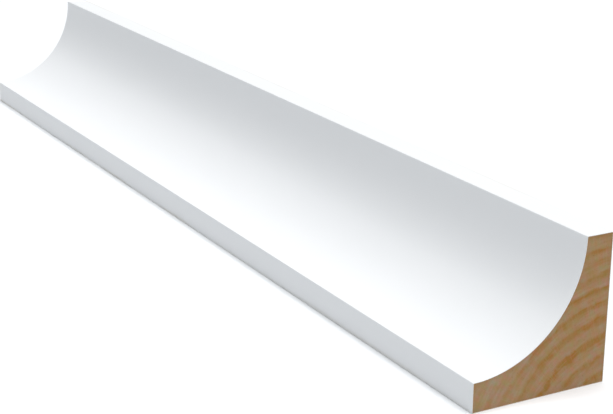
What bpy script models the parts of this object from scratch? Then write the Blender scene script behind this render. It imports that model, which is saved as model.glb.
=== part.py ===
"""Cove moulding: a primed pine stick of square section with a quarter-round hollow.

It lies on its flat underside, with its length along X, its flat back towards +Y and
its hollow towards -Y and up. The origin is the middle of the underside.
"""
import math

import bmesh
import bpy

MM = 0.001

# The section
COVE_RADIUS = 13.9625 * MM  # of the hollow, a quarter circle
TOP_LIP = 3.5 * MM          # flat on top, between the hollow and the back
FRONT_LIP = 3.5 * MM        # flat at the front, between the hollow and the underside
ARRIS_RADIUS = 0.1 * MM     # the long corners, rubbed down before priming

# The stick
STICK_LENGTH = 152.4 * MM   # sawn square at both ends

# Facets
COVE_STEPS = 60             # along the hollow's quarter circle
ARRIS_STEPS = 3             # round each long corner
SHARP_FROM = 35             # degrees between faces, from which their edge stays crisp

PRIMER_WHITE = (0.86, 0.88, 0.89, 1.0)
PRIMER_ROUGHNESS = 0.5


def clear_scene():
    for thing in list(bpy.data.objects):
        bpy.data.objects.remove(thing, do_unlink=True)


def painted(name, colour, roughness):
    """A plain paint of one colour."""
    material = bpy.data.materials.new(name)
    material.use_nodes = True
    shader = material.node_tree.nodes["Principled BSDF"]
    shader.inputs["Base Color"].default_value = colour
    shader.inputs["Roughness"].default_value = roughness
    shader.inputs["Metallic"].default_value = 0.0
    return material


def arc(centre, radius, start, sweep, steps):
    """Points (y, z) along an arc; its angles are in degrees from +Y towards +Z."""
    angles = [math.radians(start + sweep * step / steps) for step in range(steps + 1)]
    return [(centre[0] + radius * math.cos(a), centre[1] + radius * math.sin(a)) for a in angles]


def arris(centre, start, sweep=90):
    """The round of one long corner."""
    return arc(centre, ARRIS_RADIUS, start, sweep, ARRIS_STEPS)


def section():
    """The outline of the section as (y, z), anticlockwise seen from the +X end."""
    depth = COVE_RADIUS + TOP_LIP
    height = COVE_RADIUS + FRONT_LIP
    front = -depth / 2
    inner_front = front + ARRIS_RADIUS
    inner_back = depth / 2 - ARRIS_RADIUS
    inner_top = height - ARRIS_RADIUS

    # Where the hollow runs out at a lip, the corner's round touches both of them:
    # its centre is one radius under the lip and one radius outside the hollow.
    to_centre = COVE_RADIUS + ARRIS_RADIUS
    reach = math.sqrt(to_centre ** 2 - ARRIS_RADIUS ** 2)
    taken = math.degrees(math.asin(ARRIS_RADIUS / to_centre))

    bottom_back = arris((inner_back, ARRIS_RADIUS), -90)
    top_back = arris((inner_back, inner_top), 0)
    top_lip = arris((front + reach, inner_top), 90, 90 - taken)
    hollow = arc((front, height), COVE_RADIUS, -taken, 2 * taken - 90, COVE_STEPS)
    front_lip = arris((inner_front, height - reach), 90 + taken, 90 - taken)
    bottom_front = arris((inner_front, ARRIS_RADIUS), 180)
    return bottom_back + top_back + top_lip + hollow[1:-1] + front_lip + bottom_front


def stick(name, material):
    """The section drawn out along the length, with flat, square ends."""
    shape = bmesh.new()
    ring = [shape.verts.new((-STICK_LENGTH / 2, y, z)) for y, z in section()]
    far_end = shape.faces.new(ring)
    drawn = bmesh.ops.extrude_face_region(shape, geom=[far_end])
    near_ring = [item for item in drawn["geom"] if isinstance(item, bmesh.types.BMVert)]
    bmesh.ops.translate(shape, verts=near_ring, vec=(STICK_LENGTH, 0, 0))
    bmesh.ops.recalc_face_normals(shape, faces=shape.faces)

    mesh = bpy.data.meshes.new(name)
    shape.to_mesh(mesh)
    shape.free()
    mesh.shade_smooth()
    mesh.set_sharp_from_angle(angle=math.radians(SHARP_FROM))
    mesh.materials.append(material)
    piece = bpy.data.objects.new(name, mesh)
    bpy.context.scene.collection.objects.link(piece)


clear_scene()
stick("cove_moulding", painted("white_primer", PRIMER_WHITE, PRIMER_ROUGHNESS))
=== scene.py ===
import math

import bmesh
import bpy
import numpy as np
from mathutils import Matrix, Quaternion, Vector


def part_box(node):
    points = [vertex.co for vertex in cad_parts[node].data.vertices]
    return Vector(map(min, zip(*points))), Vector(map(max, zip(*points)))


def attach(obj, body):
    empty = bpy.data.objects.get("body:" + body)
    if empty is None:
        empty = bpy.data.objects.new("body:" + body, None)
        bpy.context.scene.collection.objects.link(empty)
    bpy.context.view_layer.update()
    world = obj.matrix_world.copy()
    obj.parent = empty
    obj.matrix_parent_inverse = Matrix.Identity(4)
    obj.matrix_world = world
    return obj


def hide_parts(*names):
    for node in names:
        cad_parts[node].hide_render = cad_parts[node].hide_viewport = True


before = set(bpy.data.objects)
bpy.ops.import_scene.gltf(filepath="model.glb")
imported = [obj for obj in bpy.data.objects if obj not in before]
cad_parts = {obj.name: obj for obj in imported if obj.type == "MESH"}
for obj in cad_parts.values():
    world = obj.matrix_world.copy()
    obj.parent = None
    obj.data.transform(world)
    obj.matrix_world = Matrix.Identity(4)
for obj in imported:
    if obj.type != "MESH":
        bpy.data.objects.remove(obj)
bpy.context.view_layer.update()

# The stick
# One length of pine run through a moulder: a square section with a quarter-round hollow
# cut out of its front top corner, which leaves a narrow flat lip above and below it. The
# long corners are rubbed down before priming, and both ends are sawn square afterwards.
MM = 0.001
lip = 3.5 * MM
arris = 0.1 * MM            # radius of the rubbed corners
film = 0.05 * MM            # thickness of the primer, which the saw cut lays bare
film_stands = 0.03 * MM     # the primer's cut edge stands this much out of the wood
film_slope = 0.012 * MM

low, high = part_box("cove_moulding")
far_end, near_end = low.x, high.x
front, back, top = low.y, high.y, high.z
hollow_radius = top - lip

arris_steps = 4             # even, so that each corner of an end's grid falls on a vertex
flat_steps = 100            # across the underside, and up the back
lip_steps = 52
hollow_steps = 2 * flat_steps + arris_steps
length_steps = 24
sharp_from = math.radians(35)
same_point = 0.001 * MM     # points closer than this are merged
same_plane = 0.01 * MM      # and points closer than this to a flat face lie in it
ends = ((far_end, -1), (near_end, 1))       # where each one is, and which way it faces

bpy.ops.object.select_all(action="DESELECT")
bpy.ops.mesh.primitive_plane_add(size=arris, location=(far_end, front + arris, 0))
stick = bpy.context.object
stick.name = stick.data.name = "primed_cove_moulding"
bpy.ops.object.transform_apply(location=True)
bpy.ops.object.mode_set(mode="EDIT")
bpy.ops.mesh.select_mode(type="VERT")
bpy.ops.mesh.merge(type="CENTER")


def draw(across, up, steps):
    """Draws the outline on in a straight line from its last point."""
    bpy.ops.mesh.extrude_repeat(steps=steps, offset=(0, across / steps, up / steps))


def turn(y, z, degrees, steps):
    """Draws the outline on round a centre; a positive turn is anticlockwise from the near end."""
    bpy.ops.mesh.spin(
        steps=steps, angle=-math.radians(degrees), center=(far_end, y, z), axis=(1, 0, 0)
    )


def select_where(test):
    """Selects just the vertices that pass a test of their place."""
    shape = bmesh.from_edit_mesh(stick.data)
    for vertex in shape.verts:
        vertex.select_set(test(vertex.co))
    shape.select_flush_mode()
    bmesh.update_edit_mesh(stick.data)


# The outline is drawn in the order that a cutter would follow it, from the front of the
# underside.
reach = math.sqrt((hollow_radius + arris) ** 2 - arris ** 2)
taken = math.degrees(math.asin(arris / (hollow_radius + arris)))
side = back - front
draw(side - 2 * arris, 0, flat_steps)
turn(back - arris, arris, 90, arris_steps)
draw(0, top - 2 * arris, flat_steps)
turn(back - arris, top - arris, 90, arris_steps)
draw(front + reach - (back - arris), 0, lip_steps)
turn(front + reach, top - arris, 90 - taken, arris_steps)
turn(front, top, 2 * taken - 90, hollow_steps)
turn(front + arris, top - reach, 90 - taken, arris_steps)
draw(0, arris - (top - reach), lip_steps)
turn(front + arris, arris, 90, arris_steps)
bpy.ops.mesh.select_all(action="SELECT")
bpy.ops.mesh.remove_doubles(threshold=same_point)

# The outline is drawn out along the length.
bpy.ops.mesh.select_mode(type="EDGE")
bpy.ops.mesh.select_all(action="SELECT")
one_step = (near_end - far_end) / length_steps
bpy.ops.mesh.extrude_repeat(steps=length_steps, offset=(one_step, 0, 0))
bpy.ops.mesh.select_mode(type="VERT")

# Each end is closed, and the primer's cut edge is inset. The wood inside it is a grid whose
# short rows lead from the hollow to the flats, so that relief can be worked into it.
for end, outwards in ends:
    wood_face = end - outwards * film_stands
    select_where(lambda place: abs(place.x - end) < same_plane)
    bpy.ops.mesh.edge_face_add()
    bpy.ops.mesh.normals_make_consistent(inside=False)
    bpy.ops.mesh.select_mode(type="FACE")
    bpy.ops.mesh.inset(thickness=film, depth=0, use_even_offset=True)
    bpy.ops.mesh.inset(thickness=film_slope, depth=-film_stands, use_even_offset=True)
    bpy.ops.mesh.delete(type="ONLY_FACE")
    bpy.ops.mesh.select_mode(type="VERT")
    select_where(lambda place: abs(place.x - wood_face) < same_plane)
    shape = bmesh.from_edit_mesh(stick.data)
    rim = [v for v in shape.verts if v.select]
    top_lip_starts = Vector((end, front + hollow_radius, top))
    corner = min(rim, key=lambda v: (v.co - top_lip_starts).length)
    shape.select_history.clear()
    shape.select_history.add(corner)
    bpy.ops.mesh.fill_grid(span=lip_steps + arris_steps, offset=0)

bpy.ops.mesh.select_all(action="SELECT")
bpy.ops.mesh.normals_make_consistent(inside=False)
bpy.ops.object.mode_set(mode="OBJECT")
bpy.ops.object.shade_smooth_by_angle(angle=sharp_from)

# The tree's heart lay below and behind the stick, so its growth rings cross both ends in
# arcs and run along the other faces as lines. Each ring ends in a band of dense, dark wood.
heart_y, heart_z = 10.8 * MM, -7.7 * MM
rings = (                   # radius of each dark band in mm, and how dark it is
    (9.1, 0.7), (11.1, 0.65), (13.45, 1.0), (15.7, 0.75), (17.5, 0.75),
    (19.2, 0.75), (20.8, 0.6), (22.3, 0.4), (23.6, 0.7), (25.4, 0.5),
)
first_growth = 2.1          # mm that the first of these rings is wide
summer_share = 0.42         # of a ring, over which its wood darkens towards the band
spring_share = 0.25         # of a ring, past its band, over which the next one's wood pales
mid_ring = 0.15             # how dark the wood is where the summer's begins
band_stops = []
inner = rings[0][0] - first_growth
for radius, darkness in rings:
    growth = radius - inner
    band_stops += [
        ((radius - summer_share * growth) * MM, mid_ring), (radius * MM, darkness),
        ((radius + spring_share * growth) * MM, 0.0),
    ]
    inner = radius

# The heart isn't quite straight along the stick, and the rings aren't quite round. Each wave
# in them has its greatest reach and the length that one radian of it takes.
lean = 0.012                            # share of the way from the near end that it moves forward
sway, sway_over = 0.7 * MM, 41 * MM     # of the heart, to the front and the back
bow, bow_over = 0.55 * MM, 24 * MM      # and up and down
wobble, wobble_over = 0.2 * MM, 9.5 * MM
swelling, swelling_over = 0.07 * MM, 1.9 * MM       # of the rings, across an end
ripple, ripple_over = 0.045 * MM, 0.9 * MM


def from_heart(x, y, z, sine, root):
    """How far a place is from the heart. The stem leaned and swelled a little as it grew."""
    along = near_end - x
    away_y = y - heart_y - sway * sine(along / sway_over) + lean * along
    away_z = z - heart_z - bow * sine(along / bow_over) - wobble * sine(along / wobble_over)
    swell = swelling * sine((y + 1.7 * z) / swelling_over)
    swell += ripple * sine((2.1 * y - z) / ripple_over + 2)
    return root(away_y * away_y + away_z * away_z) + swell


def from_outline(y, z):
    """How far places on an end are in from the edge of the section."""
    return np.minimum.reduce([
        np.hypot(y - front, z - top) - hollow_radius, y - front, back - y, z, top - z
    ])


# The sawn ends are not quite flat: the dense bands stand a little proud of the soft wood
# between them, and the blade has left faint arcs.
blade_y, blade_z = -104 * MM, 63 * MM       # the middle of the saw blade
band_stands = 0.022 * MM
score_depth = 0.004 * MM
score_waves = (             # length of a radian, share of the depth, and where it begins
    (0.143 * MM, 1.0, 0), (0.091 * MM, 0.7, 1), (0.39 * MM, 1.0, 0),
)
relief_grows = 0.2 * MM     # in from the film, over which the relief reaches its full depth
places = np.empty(len(stick.data.vertices) * 3, dtype=np.float32)
stick.data.vertices.foreach_get("co", places)
x, y, z = places.reshape(-1, 3).T.astype(float)
stop_places, stop_darkness = zip(*band_stops)
dense = np.interp(from_heart(x, y, z, np.sin, np.sqrt), stop_places, stop_darkness)
from_blade = np.hypot(y - blade_y, z - blade_z)
scores = sum(share * np.sin(from_blade / over + start) for over, share, start in score_waves)
deepest_score = sum(share for _, share, _ in score_waves)
drop = band_stands * (1 - dense) + score_depth * (scores + deepest_score) / 2
drop *= np.clip((from_outline(y, z) - film - film_slope) / relief_grows, 0, 1)
for end, outwards in ends:
    wood = np.abs(x - (end - outwards * film_stands)) < same_plane
    x[wood] -= outwards * drop[wood]
stick.data.vertices.foreach_set("co", np.column_stack((x, y, z)).ravel())
stick.data.update()


# The finishes are worked out from each point's place in the stick.
class Tone:
    """A value that changes over a surface; arithmetic on it adds Math nodes to its finish."""

    def __init__(self, finish, socket):
        self.finish = finish
        self.socket = socket

    def sum(self, operation, *values):
        return self.finish.add("ShaderNodeMath", {"operation": operation}, dict(enumerate(values)))

    def __add__(self, other):
        return self.sum("ADD", self, other)

    def __radd__(self, other):
        return self.sum("ADD", other, self)

    def __sub__(self, other):
        return self.sum("SUBTRACT", self, other)

    def __rsub__(self, other):
        return self.sum("SUBTRACT", other, self)

    def __mul__(self, other):
        return self.sum("MULTIPLY", self, other)

    def __rmul__(self, other):
        return self.sum("MULTIPLY", other, self)

    def __truediv__(self, other):
        return self.sum("DIVIDE", self, other)

    def sine(self):
        return self.sum("SINE", self)

    def root(self):
        return self.sum("SQRT", self)

    def angle(self, across):
        return self.sum("ARCTAN2", self, across)

    def least(self, other):
        return self.sum("MINIMUM", self, other)

    def most(self, other):
        return self.sum("MAXIMUM", self, other)

    def between(self, low, high):
        """0 up to the low value, 1 from the high one on, and evenly in between."""
        limits = {"Value": self, "From Min": low, "From Max": high}
        return self.finish.add("ShaderNodeMapRange", {"clamp": True}, limits)


class Finish:
    """A material and the nodes that its pattern is made of."""

    def __init__(self, name):
        self.material = bpy.data.materials.new(name)
        self.material.use_nodes = True
        self.tree = self.material.node_tree
        self.shader = self.tree.nodes["Principled BSDF"]
        self.place = self.add("ShaderNodeTexCoord", {}, {}, "Object")
        self.along, self.across, self.up = (
            self.add("ShaderNodeSeparateXYZ", {}, {0: self.place}, axis) for axis in "XYZ"
        )

    def add(self, kind, settings, values, output=0):
        """Adds a node: first its settings, then the values and links of its sockets."""
        node = self.tree.nodes.new(kind)
        stops = settings.pop("stops", ())
        for name, setting in settings.items():
            setattr(node, name, setting)
        for number, (at, tone) in enumerate(stops):
            elements = node.color_ramp.elements
            stop = elements[number] if number < 2 else elements.new(at)
            stop.position = at
            stop.color = (tone, tone, tone, 1)
        for name, value in values.items():
            self.feed(node.inputs[name], value)
        return Tone(self, node.outputs[output])

    def feed(self, socket, value):
        if isinstance(value, Tone):
            self.tree.links.new(value.socket, socket)
        else:
            socket.default_value = value

    def vector(self, x, y, z):
        return self.add("ShaderNodeCombineXYZ", {}, {0: x, 1: y, 2: z})

    def cloud(self, place, sizes, detail=2.0):
        """An uneven value about 0.5, in patches of the given sizes along the three axes."""
        scaled = self.add("ShaderNodeVectorMath", {"operation": "DIVIDE"}, {0: place, 1: sizes})
        return self.add("ShaderNodeTexNoise", {}, {"Vector": scaled, "Scale": 1.0, "Detail": detail})

    def colour(self, amount, plain, changed, way="MIX"):
        """The plain colour, changed by an amount from 0 to 1."""
        settings = {"data_type": "RGBA", "blend_type": way, "clamp_factor": True}
        return self.add("ShaderNodeMix", settings, {0: amount, 6: plain, 7: changed}, 2)

    def dense_bands(self, fray=0.0):
        """How dense and dark the wood is at a point: the bands that the growth rings end in."""
        low, high = band_stops[0][0], band_stops[-1][0]
        stops = [((place - low) / (high - low), darkness) for place, darkness in band_stops]
        radius = from_heart(self.along, self.across, self.up, Tone.sine, Tone.root) + fray
        return self.add("ShaderNodeValToRGB", {"stops": stops}, {0: radius.between(low, high)})

    def raise_by(self, height):
        """Relief finer than the mesh, from its height in millimetres."""
        bump = self.add("ShaderNodeBump", {}, {"Height": height, "Distance": MM, "Strength": 1.0})
        self.feed(self.shader.inputs["Normal"], bump)


# Cool white factory primer, sprayed on from the front. It is smooth, with a low sheen, and
# shows no more of the wood than faint lengthwise grain. On the back and underside it is
# thin, and the growth rings show through.
primer = Finish("white_primer")
grain = primer.cloud(primer.place, (26 * MM, 0.34 * MM, 0.34 * MM), 3.0)
peel = primer.cloud(primer.place, (0.7 * MM, 0.7 * MM, 0.7 * MM), 1.0)
mottle = primer.cloud(primer.place, (16 * MM, 5 * MM, 5 * MM), 2.0)
ragged = (mottle - 0.5) * 1.2 * MM
thin = (primer.across + ragged).between(back - 0.5 * MM, back - 0.1 * MM).most(
    1 - (primer.up - ragged).between(0.1 * MM, 0.5 * MM)
)
ghost = primer.dense_bands() * thin
fibres = primer.cloud(primer.place, (9 * MM, 0.12 * MM, 0.12 * MM), 2.0)
cool_white, bright_white = (0.887, 0.895, 0.902, 1), (0.899, 0.906, 0.911, 1)
whitened_wood, whitened_band = (0.79, 0.775, 0.735, 1), (0.66, 0.585, 0.475, 1)
full_coat = primer.colour(mottle, cool_white, bright_white)
shown_wood = primer.colour(ghost * 0.8, whitened_wood, whitened_band)
primer.feed(primer.shader.inputs["Base Color"], primer.colour(
    thin * (0.22 + 0.3 * fibres + 0.3 * ghost), full_coat, shown_wood
))
primer.feed(primer.shader.inputs["Roughness"], 0.54 + 0.09 * mottle + 0.1 * thin)
primer.shader.inputs["Specular IOR Level"].default_value = 0.3
primer.raise_by(0.0016 * grain + 0.0012 * peel + thin * (0.004 * ghost + 0.004 * fibres))

# The primer's cut edge, a white line round each end.
cut_film = Finish("cut_primer")
chalk = cut_film.cloud(cut_film.place, (0.12 * MM, 0.12 * MM, 0.12 * MM), 2.0)
dusty_white, clean_white = (0.79, 0.76, 0.70, 1), (0.87, 0.86, 0.83, 1)
cut_film.feed(
    cut_film.shader.inputs["Base Color"], cut_film.colour(chalk, dusty_white, clean_white)
)
cut_film.shader.inputs["Roughness"].default_value = 0.8

# Bare pine, sawn across the grain. The saw has torn the bands into rows of short dashes
# along the rays, and the wood between them is unevenly pink, olive and resinous.
end_grain = Finish("sawn_end_grain")
away_y = end_grain.across - heart_y
away_z = end_grain.up - heart_z
heart_radius = (away_y * away_y + away_z * away_z).root()
mean_ring = 16 * MM         # at whose radius the sizes round the heart are true
round_heart = end_grain.vector(away_z.angle(away_y) * mean_ring, heart_radius, end_grain.along)
rays = end_grain.cloud(round_heart, (0.13 * MM, 2.6 * MM, 5 * MM), 2.0)
teeth = end_grain.cloud(round_heart, (0.3 * MM, 1.4 * MM, 5 * MM), 2.0)
dashes = end_grain.cloud(round_heart, (1.1 * MM, 0.7 * MM, 5 * MM), 2.0).between(0.32, 0.68)
streaks = end_grain.cloud(round_heart, (3 * MM, 0.36 * MM, 5 * MM), 2.0)
waves = end_grain.cloud(end_grain.place, (5 * MM, 1.6 * MM, 1.6 * MM), 1.0)
hue = end_grain.cloud(end_grain.place, (5 * MM, 0.7 * MM, 0.7 * MM), 2.0).between(0.3, 0.7)
dull = end_grain.cloud(end_grain.place, (3 * MM, 1.1 * MM, 1.1 * MM), 2.0).between(0.3, 0.7)
resin = end_grain.cloud(end_grain.place, (7 * MM, 2.4 * MM, 2.4 * MM), 3.0).between(0.35, 0.7)
cells = end_grain.cloud(end_grain.place, (0.1 * MM, 0.1 * MM, 0.1 * MM), 2.0)
off_blade_y = end_grain.across - blade_y
off_blade_z = end_grain.up - blade_z
blade_radius = (off_blade_y * off_blade_y + off_blade_z * off_blade_z).root()
blade_reach = 110 * MM      # about how far the stick is from the middle of the blade
round_blade = end_grain.vector(
    blade_radius, off_blade_z.angle(off_blade_y) * blade_reach, end_grain.along
)
scratches = end_grain.cloud(round_blade, (0.16 * MM, 9 * MM, 9 * MM), 2.0)
# Towards the back of each end the wood is a little darker and its bands are stronger. This is partly
# the wood's own banding and partly painted shade, which evens out the extra light that falls on the
# upper back of an end.
to_back = end_grain.across.between(-4 * MM, 1 * MM)
fray = 0.4 * MM * (teeth - 0.5) + 0.6 * MM * (waves - 0.5)
bands = end_grain.dense_bands(fray) * (0.4 + 0.9 * to_back) * (0.5 + dashes)
front_wood, back_wood_and_shade = (0.425, 0.292, 0.182, 1), (0.42, 0.282, 0.165, 1)
dense_brown = (0.355, 0.152, 0.008, 1)
streak_brown, streak_cream = (0.34, 0.2, 0.085, 1), (0.46, 0.335, 0.235, 1)
to_pink, to_olive = (1.12, 0.87, 0.97, 1), (0.87, 1.09, 0.97, 1)
to_amber, to_grey = (1.0, 0.97, 0.74, 1), (1.0, 1.02, 1.25, 1)
resin_amber = (0.37, 0.215, 0.075, 1)
ray_cream = (0.47, 0.32, 0.19, 1)
cell_brown = (0.25, 0.14, 0.06, 1)
canal_brown = (0.24, 0.12, 0.04, 1)
rim_brown = (0.33, 0.19, 0.09, 1)
# The darker back wood mixed in here is partly painted shade.
wood = end_grain.colour(bands, end_grain.colour(to_back, front_wood, back_wood_and_shade), dense_brown)
wood = end_grain.colour(streaks.between(0.45, 0.75) * 0.4, wood, streak_brown)
wood = end_grain.colour((1 - streaks).between(0.5, 0.8) * 0.4, wood, streak_cream)
wood = end_grain.colour(1.0, wood, end_grain.colour(hue, to_pink, to_olive), "MULTIPLY")
wood = end_grain.colour(1.0, wood, end_grain.colour(dull, to_amber, to_grey), "MULTIPLY")
wood = end_grain.colour(resin * 0.5, wood, resin_amber)
wood = end_grain.colour(rays.between(0.5, 0.8) * 0.25, wood, ray_cream)
wood = end_grain.colour(cells.between(0.3, 0.8) * 0.25, wood, cell_brown)

# Resin canals are dark pores, about one to a millimetre where the wood is resinous.
canal_spacing = 1.1 * MM
on_end = end_grain.vector(end_grain.across, end_grain.up, 0.0)
canals = end_grain.add(
    "ShaderNodeTexVoronoi", {"voronoi_dimensions": "2D"},
    {"Vector": on_end, "Scale": 1 / canal_spacing},
)
canal = (1 - canals.between(0.04, 0.1)) * resin
wood = end_grain.colour(canal * 0.4, wood, canal_brown)

# Next to the film the wood is a little darker, where the primer has soaked in.
soaked = 0.5 * MM
from_hollow_y = end_grain.across - front
from_hollow_z = end_grain.up - top
depth = (from_hollow_y * from_hollow_y + from_hollow_z * from_hollow_z).root() - hollow_radius
for edge in (from_hollow_y, back - end_grain.across, end_grain.up, 0 - from_hollow_z):
    depth = depth.least(edge)
wood = end_grain.colour((1 - depth.between(film, soaked)) * 0.35, wood, rim_brown)
end_grain.feed(end_grain.shader.inputs["Base Color"], wood)
end_grain.feed(end_grain.shader.inputs["Roughness"], 0.86 - 0.12 * bands)
end_grain.shader.inputs["Specular IOR Level"].default_value = 0.25
end_grain.raise_by(0.012 * scratches + 0.01 * cells + 0.006 * rays - 0.02 * canal)

for finish in (primer, cut_film, end_grain):
    stick.data.materials.append(finish.material)
centres = np.empty(len(stick.data.polygons) * 3, dtype=np.float32)
stick.data.polygons.foreach_get("center", centres)
x, y, z = centres.reshape(-1, 3).T
end_depth = 0.1 * MM        # the film's cut edge and all the relief lie within this of an end
at_end = np.minimum(x - far_end, near_end - x) < end_depth
on_wood = at_end & (from_outline(y, z) > film + film_slope)
stick.data.polygons.foreach_set("material_index", at_end.astype(np.int32) + on_wood)

# The faces are also laid out flat on one sheet: the long ones side by side as strips on its
# lower half, unrolled round the stick from the front of the underside, and the two ends far
# larger above them, because theirs is the finest grain.
strip_left, strip_length, strip_foot, strips_high = 0.005, 0.99, 0.01, 0.47
end_lefts, end_foot, end_wide = (0.52, 0.02), 0.52, 0.46
facing = 0.7                # of a normal along an axis, from which a face looks that way
normals = np.empty(len(stick.data.polygons) * 3, dtype=np.float32)
stick.data.polygons.foreach_get("normal", normals)
corner_vertex = np.empty(len(stick.data.loops), dtype=np.int32)
stick.data.loops.foreach_get("vertex_index", corner_vertex)
corners_of_face = np.empty(len(stick.data.polygons), dtype=np.int32)
stick.data.polygons.foreach_get("loop_total", corners_of_face)
face = np.repeat(np.arange(len(corners_of_face)), corners_of_face)
_, faces_y, faces_z = normals.reshape(-1, 3)[face].T
_, centre_y, centre_z = centres.reshape(-1, 3)[face].T
stick.data.vertices.foreach_get("co", places)
x, y, z = places.reshape(-1, 3)[corner_vertex].T
hollow_starts = 2 * side + lip
hollow_ends = hollow_starts + hollow_radius * math.pi / 2
on_top_lip = (faces_z > facing) & (centre_y > front + hollow_radius)
on_front_lip = (faces_y < -facing) & (centre_z < lip)
unrolled = np.select(
    [faces_z < -facing, faces_y > facing, on_top_lip, on_front_lip],
    [y - front, side + z, 2 * side + back - y, hollow_ends + lip - z],
    hollow_starts + hollow_radius * np.arctan2(top - z, y - front),
)
sheet_x = strip_left + strip_length * (x - far_end) / (near_end - far_end)
sheet_y = strip_foot + strips_high * unrolled / (hollow_ends + lip)
for is_near, across in ((False, back - y), (True, y - front)):
    here = at_end[face] & ((x > 0) == is_near)
    sheet_x[here] = end_lefts[is_near] + end_wide * across[here] / side
    sheet_y[here] = end_foot + end_wide * z[here] / side
sheet = stick.data.uv_layers.new(name="OFBake")
sheet.data.foreach_set("uv", np.column_stack((sheet_x, sheet_y)).astype(np.float32).ravel())

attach(stick, "root")
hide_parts("cove_moulding")

# The table
# Matt white paper, far wider than the picture, on which the stick rests on its underside.
# It is lit until it is as white as the photo's background.
paper_size = 6
paper_white = (0.925, 0.938, 0.952, 1)
bpy.ops.mesh.primitive_plane_add(size=paper_size, location=(0, 0, 0))
floor = bpy.context.object
floor.name = "floor"
paper = bpy.data.materials.new("paper")
paper.use_nodes = True
paper_shader = paper.node_tree.nodes["Principled BSDF"]
paper_shader.inputs["Base Color"].default_value = paper_white
paper_shader.inputs["Roughness"].default_value = 0.9
floor.data.materials.append(paper)

# The light
# A large softbox hangs over the stick and a weak one leans in from behind it, in a room of
# dim, cool light. Both stand a little towards the near end, which so casts next to no shadow
# on the table in front of it, and so far off that they light the whole length alike.
world = bpy.data.worlds.new("studio")
world.use_nodes = True
room = world.node_tree.nodes["Background"].inputs
room["Color"].default_value = (0.95, 1.0, 1.05, 1)
room["Strength"].default_value = 0.27
bpy.context.scene.world = world

box_length = 6.4
box_distance = 8.0
box_forward = 1.4                   # from the middle of the stick towards its near end
box_spread = math.radians(16)       # half the angle that a box fills, seen from the stick
for name, turned, brightness in (("overhead", 5, 7.35), ("rear", 60, 0.35)):
    turned = math.radians(turned)
    bpy.ops.object.light_add(
        type="AREA", rotation=(-turned, 0, 0),
        location=(box_forward, box_distance * math.sin(turned), box_distance * math.cos(turned)),
    )
    softbox = bpy.context.object
    softbox.name = name
    softbox.data.shape = "RECTANGLE"
    softbox.data.size = box_length
    softbox.data.size_y = 2 * box_distance * math.tan(box_spread)
    softbox.data.energy = brightness * math.pi * softbox.data.size * softbox.data.size_y

# The camera
# It looks down along the stick from the near end's side of the hollow, as the photo does.
# Its place, aim and lens were fitted to the corners that the photo shows.
stands_off = Vector((120.65, -105.45, 70.52)) * MM    # from the near end's back bottom corner
azimuth, elevation, roll = (math.radians(turned) for turned in (60.647, 17.893, 0.557))
towards_camera = Vector((
    math.sin(azimuth) * math.cos(elevation),
    -math.cos(azimuth) * math.cos(elevation),
    math.sin(elevation),
))
bpy.ops.object.camera_add(location=Vector((near_end, back, 0)) + stands_off)
camera = bpy.context.object
camera.rotation_mode = "QUATERNION"
camera.rotation_quaternion = (-towards_camera).to_track_quat("-Z", "Y") @ Quaternion((0, 0, 1), roll)
camera.data.lens = 91.24
camera.data.sensor_width = 36
camera.data.clip_start = 0.01
bpy.context.scene.camera = camera
bpy.context.scene.view_settings.view_transform = "Standard"
